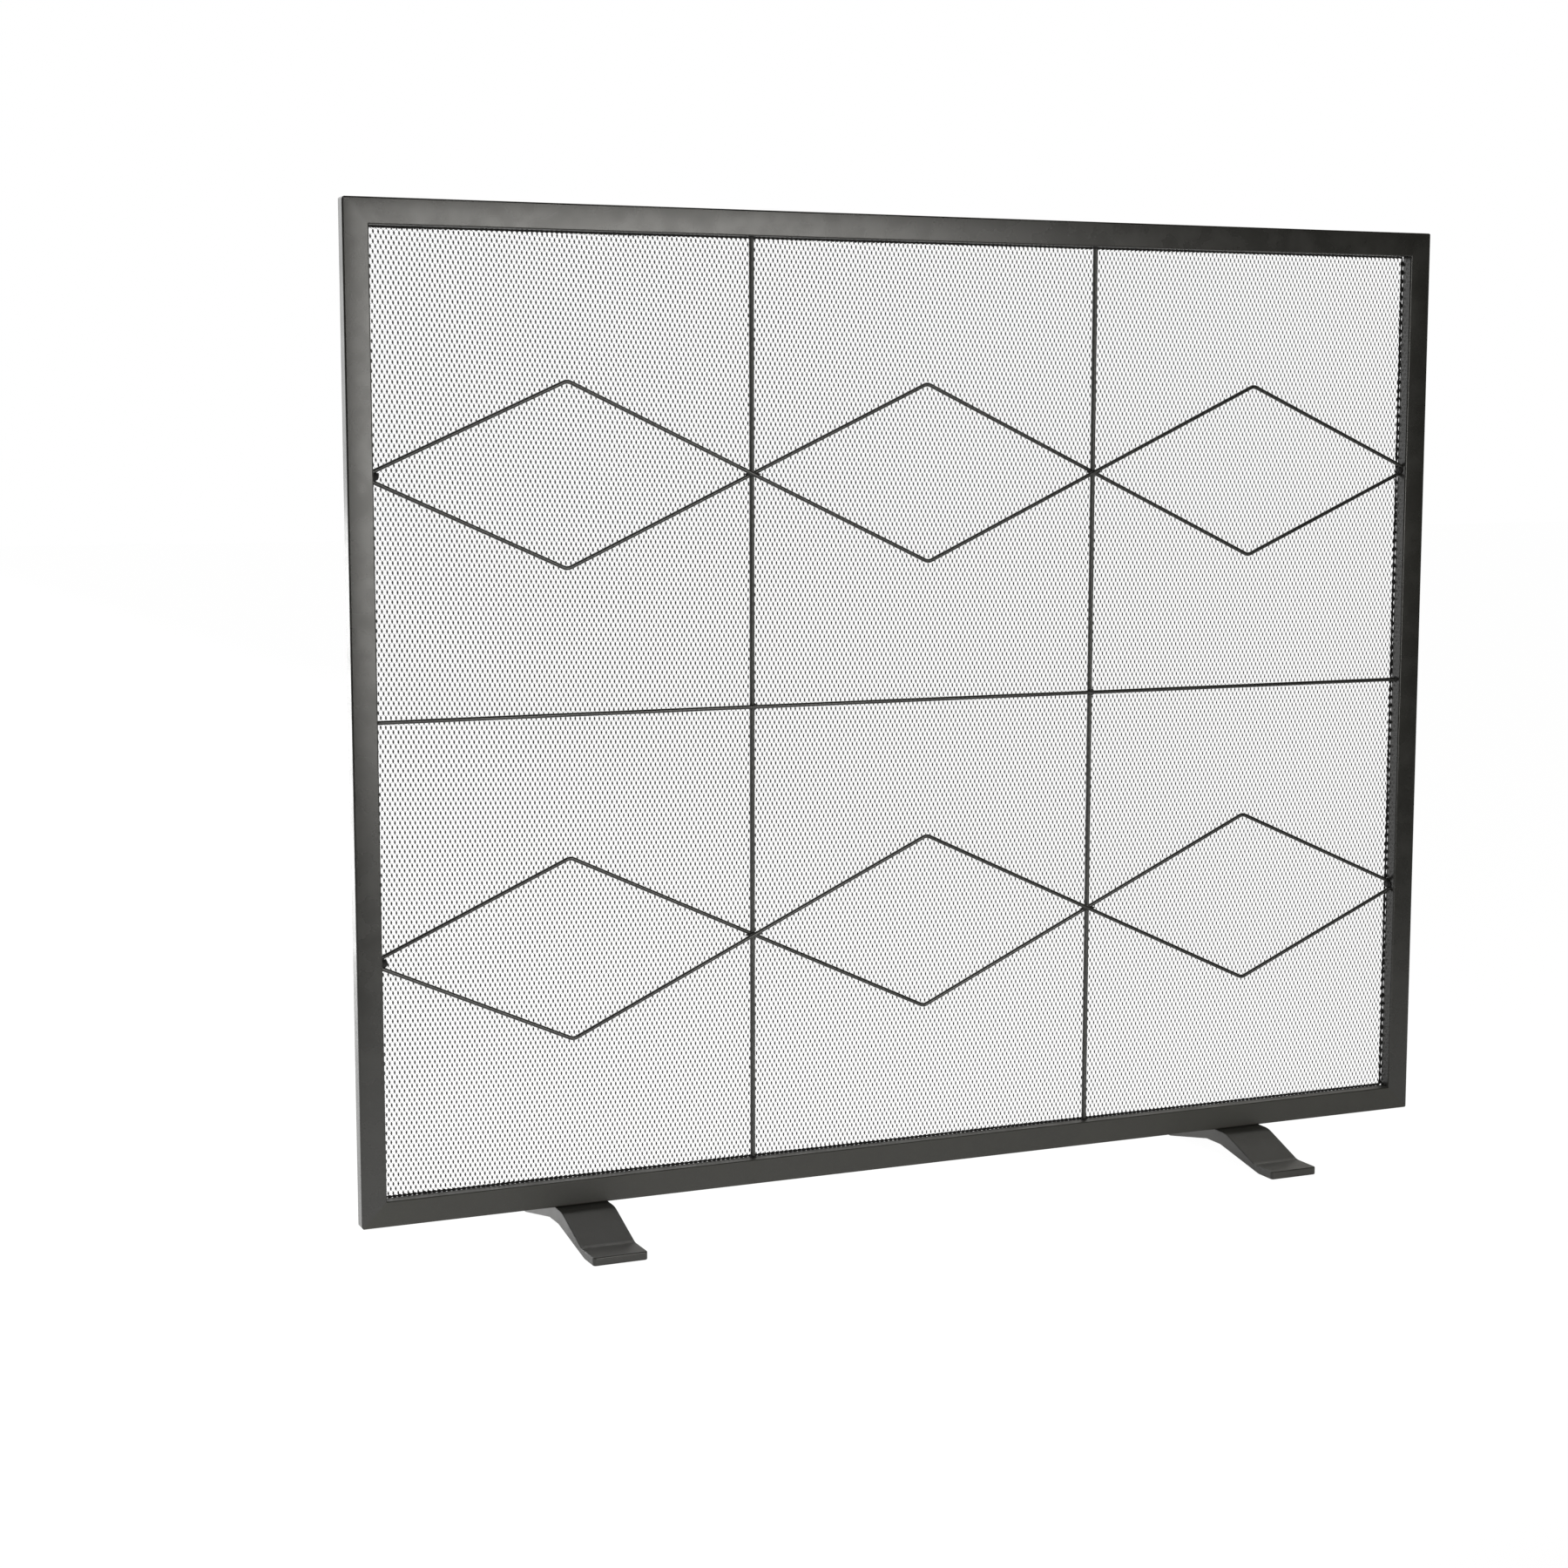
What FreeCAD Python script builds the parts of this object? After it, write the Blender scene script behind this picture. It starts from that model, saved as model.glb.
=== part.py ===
import FreeCAD, Part
import math
import os

Vector = FreeCAD.Vector

# Free-standing fireplace screen: a flat frame of mitred rectangular tube, two rows of diamonds made
# of bent round rods, a sheet of expanded-metal mesh behind them, and two cross feet.
# Sizes are in millimetres. X runs along the screen, Y from its front to its back, and Z up.
# The origin is on the floor, midway along the screen and midway through the frame's depth.

# Frame tube
frame_width = 965.0
frame_height = 775.0
tube_face = 20.0
tube_depth = 12.0
tube_wall = 1.2
tube_edge_radius = 1.2
frame_corner_radius = 2.5

# Rods inside the frame
upright_diameter = 4.0
rod_diameter = 3.2
crossing_gap = 0.1
rod_to_mesh_gap = 0.2
zigzag_rise = 71.6
zigzag_bend_radius = 7.0
zigzag_end_spread = 3.2
panels_across = 3

# Mesh and the strips that clamp it to the back of the frame
mesh_thickness = 1.2
mesh_inset = 5.0
strip_width = 12.0
strip_thickness = 1.5
strip_corner_gap = 0.5
rivets_per_long_strip = 6
rivets_per_short_strip = 5
rivet_end_distance = 24.0
rivet_shank_diameter = 3.2
rivet_head_diameter = 6.4
rivet_head_height = 1.3
rivet_bulb_diameter = 4.6
rivet_bulb_height = 1.8
rivet_clearance = 0.1

# Feet
foot_drop = 23.8
foot_length = 184.5
foot_width = 44.5
foot_centre_distance = 609.0
foot_plateau_length = 39.5
foot_slope_run = 45.0
foot_pad_thickness = 6.8
foot_block_height = 12.2
foot_block_length = 22.0
foot_arch_run = 60.0
foot_upper_bend_radius = 26.0
foot_lower_bend_radius = 16.0
foot_arch_radius = 12.0
foot_corner_radius = 2.6
foot_edge_radius = 1.1

# Foot screws and the tapped blocks inside the bottom rail
screw_spacing = 24.0
screw_diameter = 4.0
screw_length = 16.0
screw_head_diameter = 7.0
screw_head_height = 4.0
screw_socket_width = 3.0
screw_socket_depth = 2.0
screw_recess = 1.0
screw_hole_clearance = 0.25
head_hole_clearance = 0.6
thread_clearance = 0.05
tapped_block_length = 42.0
tapped_block_height = 8.0
tapped_block_clearance = 0.1

# How far a drilled hole runs past the walls it goes through, and the corners of a hexagon
drill_overrun = 1.0
hexagon_corners = 6

# Distance below which two places count as the same
same_place = 0.01

# Levels and lines that several pieces share
half_width = frame_width / 2
half_depth = tube_depth / 2
frame_bottom = foot_drop
frame_top = frame_bottom + frame_height
opening_half_width = half_width - tube_face
opening_bottom = frame_bottom + tube_face
opening_top = frame_top - tube_face
opening_height = opening_top - opening_bottom
opening_middle = (opening_top + opening_bottom) / 2
panel_width = 2 * opening_half_width / panels_across
upright_positions = [-opening_half_width + panel_width * k for k in range(1, panels_across)]
row_middles = {"lower": opening_bottom + opening_height / 4, "upper": opening_top - opening_height / 4}

# Depths at which the layers lie, from the back of the frame forwards
mesh_front = half_depth
mesh_back = mesh_front + mesh_thickness
strip_back = mesh_back + strip_thickness
upright_axis = mesh_front - rod_to_mesh_gap - upright_diameter / 2
front_rod_axis = upright_axis - upright_diameter / 2 - crossing_gap - rod_diameter / 2


def box_between(low, high):
    """Box from its lowest corner to its highest."""
    length, depth, height = (b - a for a, b in zip(low, high))
    return Part.makeBox(length, depth, height, Vector(*low))


def tangent_arc(before, corner, after, radius):
    """Start, middle and end of the arc that rounds the corner between two straight runs."""
    back = (before - corner) / (before - corner).Length
    ahead = (after - corner) / (after - corner).Length
    half_angle = back.getAngle(ahead) / 2
    reach = radius / math.tan(half_angle)
    inward = (back + ahead) / (back + ahead).Length
    centre = corner + inward * (radius / math.sin(half_angle))
    return corner + back * reach, centre - inward * radius, corner + ahead * reach


def rounded_wire(corners, closed):
    """Straight runs through (point, radius) corners, with an arc at every corner that has a radius."""
    count = len(corners)
    edges = []
    stops = []
    for index, (point, radius) in enumerate(corners):
        is_end = not closed and index in (0, count - 1)
        if is_end or radius == 0:
            stops.append((point, point))
            continue
        before = corners[index - 1][0]
        after = corners[(index + 1) % count][0]
        start, middle, end = tangent_arc(before, point, after, radius)
        edges.append(Part.Arc(start, middle, end).toShape())
        stops.append((start, end))
    for index in range(count if closed else count - 1):
        leave = stops[index][1]
        arrive = stops[(index + 1) % count][0]
        edges.append(Part.LineSegment(leave, arrive).toShape())
    return Part.Wire(Part.__sortEdges__(edges))


def bent_rod(corners, diameter):
    """Round rod whose centre line runs through the corners."""
    path = rounded_wire(corners, closed=False)
    first = path.OrderedEdges[0]
    start = path.OrderedVertexes[0].Point
    circle = Part.makeCircle(diameter / 2, start, first.tangentAt(first.FirstParameter))
    return path.makePipe(Part.Face(Part.Wire(circle)))


def rod_between(start, end, diameter):
    """Straight round rod between two points."""
    return Part.makeCylinder(diameter / 2, (end - start).Length, start, end - start)


# ---------------------------------------------------------------- frame


def frame_outline():
    """Block with the frame's rounded outer corners, as deep as the tube."""
    block = box_between((-half_width, -half_depth, frame_bottom), (half_width, half_depth, frame_top))
    corners = [edge for edge in block.Edges if edge.BoundBox.YLength > tube_depth / 2]
    return block.makeFillet(frame_corner_radius, corners)


def tube_along_x(bottom):
    """Rectangular tube across the whole width, with its underside at the given height."""
    low = (-half_width, -half_depth, bottom)
    high = (half_width, half_depth, bottom + tube_face)
    outside = box_between(low, high)
    long_edges = [edge for edge in outside.Edges if edge.BoundBox.XLength > tube_face]
    outside = outside.makeFillet(tube_edge_radius, long_edges)
    inside = box_between(
        (low[0], low[1] + tube_wall, low[2] + tube_wall),
        (high[0], high[1] - tube_wall, high[2] - tube_wall),
    )
    return outside.cut(inside)


def tube_along_z(left):
    """Rectangular tube over the whole height, with its left face at the given X."""
    low = (left, -half_depth, frame_bottom)
    high = (left + tube_face, half_depth, frame_top)
    outside = box_between(low, high)
    long_edges = [edge for edge in outside.Edges if edge.BoundBox.ZLength > tube_face]
    outside = outside.makeFillet(tube_edge_radius, long_edges)
    inside = box_between(
        (low[0] + tube_wall, low[1] + tube_wall, low[2]),
        (high[0] - tube_wall, high[1] - tube_wall, high[2]),
    )
    return outside.cut(inside)


def mitre_block(outer_a, outer_b, inner_b, inner_a):
    """Prism through the whole depth that keeps one frame member between its two mitres."""
    points = [Vector(x, -half_depth, z) for x, z in (outer_a, outer_b, inner_b, inner_a, outer_a)]
    return Part.Face(Part.makePolygon(points)).extrude(Vector(0, tube_depth, 0))


def frame_members():
    """The four mitred tubes, without their holes."""
    outer = {
        "top_left": (-half_width, frame_top),
        "top_right": (half_width, frame_top),
        "bottom_right": (half_width, frame_bottom),
        "bottom_left": (-half_width, frame_bottom),
    }
    inner = {
        "top_left": (-opening_half_width, opening_top),
        "top_right": (opening_half_width, opening_top),
        "bottom_right": (opening_half_width, opening_bottom),
        "bottom_left": (-opening_half_width, opening_bottom),
    }
    sides = {
        "top_rail": (tube_along_x(opening_top), "top_left", "top_right"),
        "bottom_rail": (tube_along_x(frame_bottom), "bottom_left", "bottom_right"),
        "left_stile": (tube_along_z(-half_width), "bottom_left", "top_left"),
        "right_stile": (tube_along_z(opening_half_width), "bottom_right", "top_right"),
    }
    outline = frame_outline()
    members = {}
    for name, (tube, first, last) in sides.items():
        keep = mitre_block(outer[first], outer[last], inner[last], inner[first])
        members[name] = tube.common(keep).common(outline)
    return members


# ---------------------------------------------------------------- rods


def upright_rod(x):
    """Round rod from the bottom rail to the top rail."""
    bottom = Vector(x, upright_axis, opening_bottom)
    top = Vector(x, upright_axis, opening_top)
    return rod_between(bottom, top, upright_diameter)


def middle_cross_rod():
    """Thin round rod from stile to stile, in front of the uprights."""
    left = Vector(-opening_half_width, front_rod_axis, opening_middle)
    right = Vector(opening_half_width, front_rod_axis, opening_middle)
    return rod_between(left, right, rod_diameter)


def zigzag_corners(row_middle, depth, first_side):
    """Corners of a line that goes from stile to stile, once past the row's middle in each panel.

    The first side is 1 where the line starts upwards and -1 where it starts downwards. The ends stand
    a little off the middle, on the side that the line bends to, so that two lines meet the stile
    one above the other.
    """
    sides = [first_side * (-1) ** k for k in range(panels_across)]
    left_end = Vector(-opening_half_width, depth, row_middle + sides[0] * zigzag_end_spread)
    right_end = Vector(opening_half_width, depth, row_middle + sides[-1] * zigzag_end_spread)
    corners = [(left_end, 0)]
    for k, side in enumerate(sides):
        x = -opening_half_width + panel_width * (k + 0.5)
        corners.append((Vector(x, depth, row_middle + side * zigzag_rise), zigzag_bend_radius))
    corners.append((right_end, 0))
    return corners


def run_past_stiles(corners):
    """The same line with its two end runs carried on by a tube's width, into the stiles."""
    longer = list(corners)
    for end, neighbour in ((0, 1), (-1, -2)):
        point = corners[end][0]
        outward = point - corners[neighbour][0]
        longer[end] = (point + outward * (tube_face / outward.Length), 0)
    return longer


def front_zigzag(row_middle, first_side):
    """Bent rod from stile to stile in front of the uprights, cut flush with the stiles."""
    corners = run_past_stiles(zigzag_corners(row_middle, front_rod_axis, first_side))
    return bent_rod(corners, rod_diameter).common(panel_space(0, panels_across - 1))


def panel_space(first, last):
    """The opening of the frame from the left of one panel to the right of another."""
    left = -opening_half_width + panel_width * first
    right = -opening_half_width + panel_width * (last + 1)
    return box_between((left, -half_depth, opening_bottom), (right, half_depth, opening_top))


def back_rods(row_middle, first_side):
    """V-shaped rods in the plane of the uprights, one in each panel, coped round the uprights."""
    corners = run_past_stiles(zigzag_corners(row_middle, upright_axis, first_side))
    whole = bent_rod(corners, rod_diameter)
    for x in upright_positions:
        whole = whole.cut(upright_rod(x))
    return [whole.common(panel_space(k, k)) for k in range(panels_across)]


# ---------------------------------------------------------------- mesh, strips and rivets


def strip_spans():
    """Low and high (x, z) corners of the four strips, centred on the faces of the tubes."""
    inset = (tube_face - strip_width) / 2
    left = -half_width + inset
    right = half_width - inset
    bottom = frame_bottom + inset
    top = frame_top - inset
    side_bottom = bottom + strip_width + strip_corner_gap
    side_top = top - strip_width - strip_corner_gap
    return {
        "bottom_mesh_strip": ((left, bottom), (right, bottom + strip_width)),
        "top_mesh_strip": ((left, top - strip_width), (right, top)),
        "left_mesh_strip": ((left, side_bottom), (left + strip_width, side_top)),
        "right_mesh_strip": ((right - strip_width, side_bottom), (right, side_top)),
    }


def spaced(low, high, count):
    """Evenly spaced positions between two end distances."""
    first = low + rivet_end_distance
    step = (high - low - 2 * rivet_end_distance) / (count - 1)
    return [first + step * k for k in range(count)]


def rivet_places():
    """The (x, z) places of the rivets, on the middle line of each strip."""
    places = []
    for (left, bottom), (right, top) in strip_spans().values():
        if right - left > top - bottom:
            z = (bottom + top) / 2
            places += [(x, z) for x in spaced(left, right, rivets_per_long_strip)]
        else:
            x = (left + right) / 2
            places += [(x, z) for z in spaced(bottom, top, rivets_per_short_strip)]
    return places


def rivet_holes():
    """Holes for the rivets, from behind the strips into the hollow of the tubes."""
    radius = rivet_shank_diameter / 2 + rivet_clearance
    start = half_depth - tube_wall - drill_overrun
    length = strip_back + drill_overrun - start
    backwards = Vector(0, 1, 0)
    holes = []
    for x, z in rivet_places():
        holes.append(Part.makeCylinder(radius, length, Vector(x, start, z), backwards))
    return Part.makeCompound(holes)


def rivet(x, z):
    """Blind rivet: domed head behind the strip, shank through to the tube, bulb inside the tube."""
    wall_inside = half_depth - tube_wall
    bulb_start = wall_inside - rivet_bulb_height
    shank_length = strip_back - bulb_start
    backwards = Vector(0, 1, 0)
    start = Vector(x, bulb_start, z)
    shank = Part.makeCylinder(rivet_shank_diameter / 2, shank_length, start, backwards)
    bulb = Part.makeCylinder(rivet_bulb_diameter / 2, rivet_bulb_height, start, backwards)
    head_radius = rivet_head_diameter / 2
    dome_radius = (head_radius ** 2 + rivet_head_height ** 2) / (2 * rivet_head_height)
    dome_centre = Vector(x, strip_back + rivet_head_height - dome_radius, z)
    dome = Part.makeSphere(dome_radius, dome_centre)
    behind = Part.makeCylinder(head_radius, rivet_head_height, Vector(x, strip_back, z), backwards)
    return shank.fuse([bulb, dome.common(behind)]).removeSplitter()


def mesh_strips():
    """The four flat strips, with their rivet holes."""
    holes = rivet_holes()
    strips = {}
    for name, ((left, bottom), (right, top)) in strip_spans().items():
        strips[name] = box_between((left, mesh_back, bottom), (right, strip_back, top)).cut(holes)
    return strips


def mesh_panel():
    """Thin sheet that fills the space of the expanded-metal mesh."""
    low = (-half_width + mesh_inset, mesh_front, frame_bottom + mesh_inset)
    high = (half_width - mesh_inset, mesh_back, frame_top - mesh_inset)
    return box_between(low, high).cut(rivet_holes())


# ---------------------------------------------------------------- feet and their fastenings


def foot_half_outline():
    """Half of the foot's side outline as (y, z, radius), from the plateau round to the arch."""
    slope_top = foot_plateau_length / 2
    slope_foot = slope_top + foot_slope_run
    arch_top = foot_block_length / 2
    arch_foot = arch_top + foot_arch_run
    end = foot_length / 2
    return [
        (slope_top, foot_drop, foot_upper_bend_radius),
        (slope_foot, foot_pad_thickness, foot_lower_bend_radius),
        (end, foot_pad_thickness, 0),
        (end, 0, 0),
        (arch_foot, 0, foot_arch_radius),
        (arch_top, foot_drop - foot_block_height, foot_arch_radius),
    ]


def foot_blank(centre_x):
    """Foot with softened corners and edges, before its screw holes."""
    left = centre_x - foot_width / 2
    right = centre_x + foot_width / 2
    half = foot_half_outline()
    outline = half + [(-y, z, radius) for y, z, radius in reversed(half)]
    corners = [(Vector(left, y, z), radius) for y, z, radius in outline]
    blank = Part.Face(rounded_wire(corners, closed=True)).extrude(Vector(foot_width, 0, 0))
    upright_edges = [edge for edge in blank.Edges if is_upright(edge)]
    blank = blank.makeFillet(foot_corner_radius, upright_edges)
    return blank.makeFillet(foot_edge_radius, rim_edges(blank, left, right))


def is_upright(edge):
    """Whether an edge is vertical."""
    box = edge.BoundBox
    return box.XLength < same_place and box.YLength < same_place and box.ZLength > same_place


def rim_edges(blank, left, right):
    """Edges round the two sides and the two ends of the foot, but none of the upright ones."""
    end_zone = foot_length / 2 - foot_corner_radius - same_place
    chosen = []
    for edge in blank.Edges:
        points = [vertex.Point for vertex in edge.Vertexes]
        on_left = all(abs(p.x - left) < same_place for p in points)
        on_right = all(abs(p.x - right) < same_place for p in points)
        on_end = all(abs(p.y) > end_zone for p in points)
        if (on_left or on_right or on_end) and not is_upright(edge):
            chosen.append(edge)
    return chosen


def screw_places(centre_x):
    """X positions of one foot's two screws."""
    return [centre_x - screw_spacing / 2, centre_x + screw_spacing / 2]


def screw_seat_height():
    """Height of the shoulder that the screw heads pull against, inside the foot."""
    return foot_drop - foot_block_height + screw_recess + screw_head_height


def cross_foot(centre_x):
    """Foot that runs from front to back under the bottom rail, flat at its two ends."""
    foot = foot_blank(centre_x)
    up = Vector(0, 0, 1)
    hole_radius = screw_diameter / 2 + screw_hole_clearance
    pocket_radius = screw_head_diameter / 2 + head_hole_clearance
    for x in screw_places(centre_x):
        hole = Part.makeCylinder(hole_radius, foot_drop, Vector(x, 0, 0), up)
        pocket = Part.makeCylinder(pocket_radius, screw_seat_height(), Vector(x, 0, 0), up)
        foot = foot.cut(hole).cut(pocket)
    return foot


def foot_screw(x):
    """Socket-head screw from inside the foot up into the tapped block."""
    up = Vector(0, 0, 1)
    seat = screw_seat_height()
    head_bottom = seat - screw_head_height
    head = Part.makeCylinder(screw_head_diameter / 2, screw_head_height, Vector(x, 0, head_bottom), up)
    shank = Part.makeCylinder(screw_diameter / 2, screw_length, Vector(x, 0, seat), up)
    socket_radius = screw_socket_width / math.sqrt(3)
    angles = [2 * math.pi * k / hexagon_corners for k in range(hexagon_corners + 1)]
    socket_points = [
        Vector(x + socket_radius * math.cos(a), socket_radius * math.sin(a), head_bottom) for a in angles
    ]
    socket = Part.Face(Part.makePolygon(socket_points)).extrude(Vector(0, 0, screw_socket_depth))
    return head.fuse(shank).cut(socket).removeSplitter()


def rail_screw_holes():
    """Clearance holes for the foot screws in the underside of the bottom rail."""
    radius = screw_diameter / 2 + screw_hole_clearance
    start = frame_bottom - drill_overrun
    length = tube_wall + 2 * drill_overrun
    holes = []
    for centre_x in foot_centres():
        for x in screw_places(centre_x):
            holes.append(Part.makeCylinder(radius, length, Vector(x, 0, start), Vector(0, 0, 1)))
    return Part.makeCompound(holes)


def tapped_block(centre_x):
    """Steel block on the floor of the bottom rail's hollow, tapped for one foot's screws."""
    half_length = tapped_block_length / 2
    half_block_depth = half_depth - tube_wall - tapped_block_clearance
    bottom = frame_bottom + tube_wall
    low = (centre_x - half_length, -half_block_depth, bottom)
    high = (centre_x + half_length, half_block_depth, bottom + tapped_block_height)
    block = box_between(low, high)
    radius = screw_diameter / 2 + thread_clearance
    up = Vector(0, 0, 1)
    for x in screw_places(centre_x):
        hole = Part.makeCylinder(radius, tapped_block_height, Vector(x, 0, bottom), up)
        block = block.cut(hole)
    return block


def foot_centres():
    """X positions of the two feet."""
    return [-foot_centre_distance / 2, foot_centre_distance / 2]


# ---------------------------------------------------------------- assembly


def all_nodes():
    """Every piece by name. A group of like fasteners is one compound of separate solids."""
    nodes = frame_members()
    holes = rivet_holes()
    for name in nodes:
        nodes[name] = nodes[name].cut(holes)
    nodes["bottom_rail"] = nodes["bottom_rail"].cut(rail_screw_holes())

    for side, x in zip(("left", "right"), upright_positions):
        nodes[side + "_upright_rod"] = upright_rod(x)
    nodes["middle_cross_rod"] = middle_cross_rod()
    first_sides = {"upper": 1, "lower": -1}
    for row, row_middle in row_middles.items():
        nodes[row + "_front_zigzag"] = front_zigzag(row_middle, first_sides[row])
        for place, rod in zip(("left", "middle", "right"), back_rods(row_middle, -first_sides[row])):
            nodes[row + "_" + place + "_back_rod"] = rod

    nodes["mesh_panel"] = mesh_panel()
    nodes.update(mesh_strips())
    nodes["mesh_strip_rivets"] = Part.makeCompound([rivet(x, z) for x, z in rivet_places()])

    screws = []
    for side, centre_x in zip(("left", "right"), foot_centres()):
        nodes[side + "_foot"] = cross_foot(centre_x)
        nodes[side + "_tapped_block"] = tapped_block(centre_x)
        screws += [foot_screw(x) for x in screw_places(centre_x)]
    nodes["foot_screws"] = Part.makeCompound(screws)
    return nodes


def main():
    os.makedirs("parts", exist_ok=True)
    for name, shape in all_nodes().items():
        volume = round(sum(solid.Volume for solid in shape.Solids), 1)
        state = "valid" if shape.isValid() else "NOT VALID"
        print(name, len(shape.Solids), "solid(s)", volume, "mm3", state)
        shape.exportStep(os.path.join("parts", name + ".step"))


main()
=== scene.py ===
import math

import bpy
import numpy as np
from mathutils import Euler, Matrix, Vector, noise


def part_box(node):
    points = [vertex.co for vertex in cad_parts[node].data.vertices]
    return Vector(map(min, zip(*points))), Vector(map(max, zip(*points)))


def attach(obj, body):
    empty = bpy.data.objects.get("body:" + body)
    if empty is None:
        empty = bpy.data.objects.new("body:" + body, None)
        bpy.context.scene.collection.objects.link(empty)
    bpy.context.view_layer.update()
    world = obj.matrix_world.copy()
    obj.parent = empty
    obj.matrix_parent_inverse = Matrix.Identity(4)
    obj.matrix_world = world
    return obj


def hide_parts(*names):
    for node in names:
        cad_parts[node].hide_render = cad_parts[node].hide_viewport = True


# Looks of a free-standing fireplace screen: powder-coated frame, rods and feet, weld beads at the
# rods' ends and crossings, a sheet of raised expanded metal made strand by strand, and a dark bead
# round the opening that is painted shade, where the sheet goes behind the frame. The bottom rail and
# the uprights wear lighter copies of the coat, as painted light.
# Everything is in metres, in the frame of the imported model. X runs along the screen, Y from its
# front to its back, and Z up.

mm = 0.001

# Expanded metal: staggered bonds, each joined to its four neighbours by a strand
BOND_PITCH_X = 3.97 * mm
BOND_PITCH_Z = 7.27 * mm
BOND_HEIGHT = 2.7 * mm
BOND_WIDTH = 1.9 * mm
STRAND_WIDTH = 0.34 * mm
SHEET_THICKNESS = 0.26 * mm
BOND_TURN = math.radians(25)
BOND_LEAN = math.radians(3.5)
ROW_FALL = 0.030
ROW_FALL_CHANGE = 0.018
COLUMN_LEAN = 0.030
SECTIONS_ACROSS = 3
SECTIONS_UP = 4
CORNERS = 16

# Dark bead along the sheet's edge, round the opening: painted shade where the sheet goes behind the frame
SHADE_BEAD_INSET = 0.45 * mm
SHADE_BEAD_RADIUS = 1.0 * mm
SHADE_BEAD_WAVE = 0.35 * mm
SHADE_BEAD_STEPS_PER_BOND = 6

# Weld beads
LUMP_SIZE = 1.1 * mm
COLLAR_REACH = 1.3 * mm
COLLAR_HEIGHT = 1.7 * mm
COLLAR_SUNK = 0.05 * mm
BLOB_SUNK = 0.2 * mm
END_BLOB_RADIUS = 3.6 * mm
LEFT_BLOB_REACH = 6.2 * mm
RIGHT_BLOB_REACH = 2.4 * mm
WEB_LENGTH = 6.5 * mm
WEB_RADIUS = 1.6 * mm
WEB_START = 1.0 * mm
TACK_RADIUS = 1.25 * mm
TACK_ASIDE = 1.6 * mm
TACK_ABOVE = 1.5 * mm

# Curvature of a tube's front, as height in metres per square metre of distance from its middle line
CROWN = 2.1

# Powder coat
PEEL_PER_METRE = 700.0
PEEL_HEIGHT = 0.12 * mm
WAVE_HEIGHT = 0.4 * mm

# Camera
CAMERA_PLACE = Vector((-1.0171, -2.01535, 0.6266))
CAMERA_TURN = Euler([math.radians(a) for a in (82.784, 0.013, -23.822)])
CAMERA_LENS_MM = 63.62
SENSOR_MM = 36.0
CAMERA_SHIFT_X = -0.00056
CAMERA_SHIFT_Y = 0.00038

# Stage: the floor is pale near the screen and dark far in front of it, and its glow fades to the right
FLOOR_GLOW_SHARE = 0.92
FLOOR_PALE_TO = 0.35
FLOOR_DARK_FROM = 1.2
NEAR_FLOOR = (0.93, 0.93, 0.93)
FAR_FLOOR = (0.05, 0.05, 0.05)
NEAR_FLOOR_GLOW = 0.75
GLOW_FULL_TO_X = -0.25
GLOW_NONE_FROM_X = 0.9
WORLD_ON_LEFT = (0.82, 0.82, 0.82)
WORLD_ON_RIGHT = (0.52, 0.51, 0.475)
RIGHT_FALLOFF_FROM = 0.0
RIGHT_FALLOFF_TO = 0.6
FRONT_LIGHT_PLACE = (0.72, -2.7, 0.64)
FRONT_LIGHT_TARGET = (-0.2, 0, 0.6)
FRONT_LIGHT_COLOUR = (1.0, 0.985, 0.94)
TOP_LIGHT_PLACE = (-0.5, 0.3, 2.6)
TOP_LIGHT_TARGET = (0, 0, 0.4)
LEFT_LIGHT_PLACE = (-0.80, 1.0, 0.28)
LEFT_LIGHT_TARGET = (-0.4825, 0, 0.36)


# ---------------------------------------------------------------- small helpers for shader nodes


def new_material(name):
    """Empty node material with a Principled shader, and the object's own coordinates."""
    material = bpy.data.materials.new(name)
    material.use_nodes = True
    nodes = material.node_tree.nodes
    nodes.clear()
    output = nodes.new("ShaderNodeOutputMaterial")
    shader = nodes.new("ShaderNodeBsdfPrincipled")
    material.node_tree.links.new(shader.outputs["BSDF"], output.inputs["Surface"])
    return material, shader


def place_of(material):
    """Socket with the place of each point in the object's own coordinates, in metres."""
    return material.node_tree.nodes.new("ShaderNodeTexCoord").outputs["Object"]


def noise_of(material, place, scale, detail=2.0, roughness=0.5):
    """Socket with a noise value, for a number of features per metre."""
    node = material.node_tree.nodes.new("ShaderNodeTexNoise")
    node.inputs["Scale"].default_value = scale
    node.inputs["Detail"].default_value = detail
    node.inputs["Roughness"].default_value = roughness
    material.node_tree.links.new(place, node.inputs["Vector"])
    return node.outputs["Fac"]


def ranged(material, value, low, high, start=0.3, end=0.7):
    """Socket that carries a value over from one range to another."""
    node = material.node_tree.nodes.new("ShaderNodeMapRange")
    node.inputs["From Min"].default_value = start
    node.inputs["From Max"].default_value = end
    node.inputs["To Min"].default_value = low
    node.inputs["To Max"].default_value = high
    material.node_tree.links.new(value, node.inputs["Value"])
    return node.outputs["Result"]


def mixed_colour(material, share, first, second):
    """Socket with a colour between two others."""
    node = material.node_tree.nodes.new("ShaderNodeMix")
    node.data_type = "RGBA"
    tree = material.node_tree
    colours = [s for s in node.inputs if s.type == "RGBA"]
    for socket, value in zip(colours, (first, second)):
        if isinstance(value, bpy.types.NodeSocket):
            tree.links.new(value, socket)
        else:
            socket.default_value = (*value, 1.0)
    factor = next(s for s in node.inputs if s.type == "VALUE" and s.name == "Factor")
    tree.links.new(share, factor)
    return next(s for s in node.outputs if s.type == "RGBA")


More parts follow.
